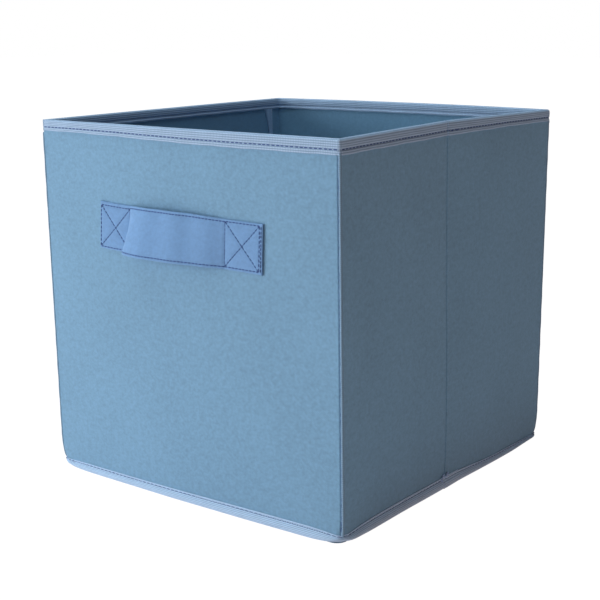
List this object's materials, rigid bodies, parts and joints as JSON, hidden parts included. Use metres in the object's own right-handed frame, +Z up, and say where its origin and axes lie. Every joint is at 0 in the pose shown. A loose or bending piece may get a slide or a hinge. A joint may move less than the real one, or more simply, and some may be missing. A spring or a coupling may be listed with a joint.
{
  "type": "foldable fabric storage bin",
  "caption": "Open-topped foldable fabric cube bin with board-stiffened walls, bound rim, front strap handle and a loose stiff base insert.",
  "frame": {"origin": "middle of the footprint, on the surface the bin stands on", "axes": "+Z up through the open top, -Y out through the front wall with the handle, +X to the right seen from the front"},
  "size_m": [0.283, 0.2982, 0.278],
  "materials": {
    "wall_fabric": "matt non-woven",
    "lining_fabric": "matt non-woven",
    "binding_tape": "ribbed woven",
    "handle_fabric": "matt non-woven",
    "insert_cover": "matt non-woven",
    "thread": "twisted thread",
    "chipboard": "grey-brown pressed board"
  },
  "bodies": {
    "back_wall": {"back_outer_fabric": "wall_fabric", "back_board": "chipboard", "back_lining": "lining_fabric", "back_top_binding": "binding_tape", "back_stitching": "thread", "back_left_seam": "binding_tape", "back_right_seam": "binding_tape", "bottom_fabric": "wall_fabric", "bottom_binding": "binding_tape", "bottom_stitching": "thread"},
    "front_wall": {"front_outer_fabric": "wall_fabric", "front_board": "chipboard", "front_lining": "lining_fabric", "front_top_binding": "binding_tape", "front_stitching": "thread", "front_left_seam": "binding_tape", "front_right_seam": "binding_tape", "handle_strap": "handle_fabric", "handle_stitching": "thread"},
    "left_rear": {"left_rear_outer_fabric": "wall_fabric", "left_rear_board": "chipboard", "left_rear_lining": "lining_fabric", "left_rear_top_binding": "binding_tape", "left_rear_stitching": "thread"},
    "left_front": {"left_front_outer_fabric": "wall_fabric", "left_front_board": "chipboard", "left_front_lining": "lining_fabric", "left_front_top_binding": "binding_tape", "left_front_stitching": "thread"},
    "right_rear": {"right_rear_outer_fabric": "wall_fabric", "right_rear_board": "chipboard", "right_rear_lining": "lining_fabric", "right_rear_top_binding": "binding_tape", "right_rear_stitching": "thread"},
    "right_front": {"right_front_outer_fabric": "wall_fabric", "right_front_board": "chipboard", "right_front_lining": "lining_fabric", "right_front_top_binding": "binding_tape", "right_front_stitching": "thread"},
    "base_insert": {"base_board": "chipboard", "base_cover_top": "insert_cover", "base_cover_bottom": "insert_cover", "base_stitching": "thread"}
  },
  "joints": [
    {"name": "right_rear_fold", "type": "hinge", "parent": "back_wall", "child": "right_rear", "pos_m": [0.136, 0.134, 0], "axis": [0, 0, -1], "range_deg": [0, 86], "deforming": ["bottom_fabric", "bottom_binding", "bottom_stitching"]},
    {"name": "right_crease_fold", "type": "hinge", "parent": "right_rear", "child": "right_front", "pos_m": [0.1414, 0, 0], "axis": [0, 0, 1], "range_deg": [0, 172]},
    {"name": "front_right_fold", "type": "hinge", "parent": "right_front", "child": "front_wall", "pos_m": [0.136, -0.134, 0], "axis": [0, 0, -1], "range_deg": [0, 86]},
    {"name": "front_left_fold", "type": "hinge", "parent": "front_wall", "child": "left_front", "pos_m": [-0.136, -0.134, 0], "axis": [0, 0, -1], "range_deg": [0, 86]},
    {"name": "left_crease_fold", "type": "hinge", "parent": "left_front", "child": "left_rear", "pos_m": [-0.1414, 0, 0], "axis": [0, 0, 1], "range_deg": [0, 172]},
    {"name": "base_insert_tilt", "type": "hinge", "parent": "back_wall", "child": "base_insert", "pos_m": [0, 0.1375, 0.0037], "axis": [-1, 0, 0], "range_deg": [0, 90]}
  ],
  "couplings": [
    {"joint": "right_crease_fold", "follows": "right_rear_fold", "ratio": 2},
    {"joint": "front_right_fold", "follows": "right_rear_fold", "ratio": 1},
    {"joint": "front_left_fold", "follows": "right_rear_fold", "ratio": 1},
    {"joint": "left_crease_fold", "follows": "right_rear_fold", "ratio": 2}
  ]
}
